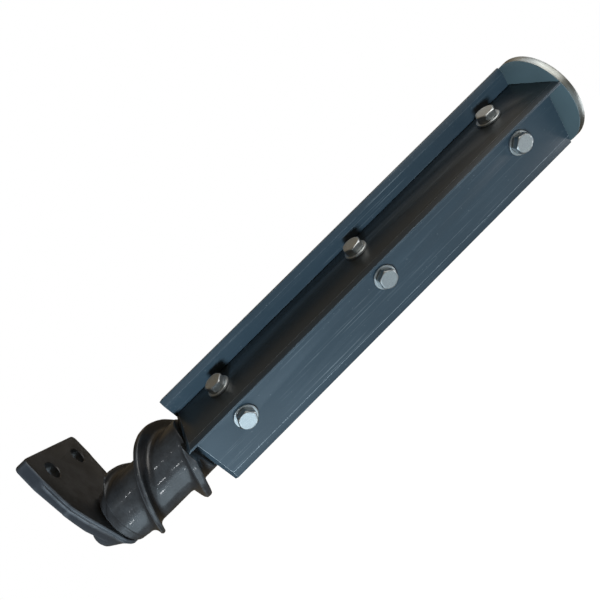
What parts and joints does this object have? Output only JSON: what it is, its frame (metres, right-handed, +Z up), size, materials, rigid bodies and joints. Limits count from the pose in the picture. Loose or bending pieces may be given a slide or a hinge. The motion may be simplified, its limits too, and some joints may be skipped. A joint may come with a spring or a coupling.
{
  "type": "bladed stalk roll with bearing bracket",
  "caption": "Square-cored roll with bolted blades set pinwheel fashion, a cast spiral nose and a bracket whose bearing lets the roll turn about its long axis.",
  "frame": {"origin": "midway between the bracket's two mounting holes, on its flat inner face", "axes": "+X along the roll's axis towards the drive end, +Z up the bracket, +Y across it"},
  "size_m": [0.6073, 0.1064, 0.1472],
  "materials": {
    "bracket_paint": "gloss black-brown paint over cast iron",
    "nose_paint": "gloss dark grey paint over cast iron",
    "blade_paint": "satin slate-blue paint",
    "core_paint": "satin slate-blue paint",
    "disc_paint": "satin green-grey paint with a worn bare rim",
    "zinc": "bright zinc plate",
    "bare_steel": "machined",
    "weld_steel": "painted weld bead",
    "bronze": "machined bearing bronze",
    "seal_rubber": "matt black"
  },
  "bodies": {
    "bracket": {"bracket_plate": "bracket_paint", "hub_bush": "bronze", "lip_seal": "seal_rubber", "thrust_washer": "bare_steel"},
    "roll": {"nose_casting": "nose_paint", "journal": "bare_steel", "journal_washer": "zinc", "journal_screw": "zinc", "nose_dowel": "bare_steel", "core_tube": "core_paint", "blade_a": "blade_paint", "blade_b": "blade_paint", "blade_c": "blade_paint", "blade_d": "blade_paint", "washers_a": "zinc", "washers_b": "zinc", "washers_c": "zinc", "washers_d": "zinc", "screws_a": "zinc", "screws_b": "zinc", "screws_c": "zinc", "screws_d": "zinc", "end_disc": "disc_paint", "disc_weld": "weld_steel", "drive_socket": "bare_steel", "socket_dowel": "bare_steel"}
  },
  "joints": [
    {"name": "roll_spin", "type": "hinge", "parent": "bracket", "child": "roll", "pos_m": [0, 0, -0.0735], "axis": [1, 0, 0], "continuous": true}
  ]
}
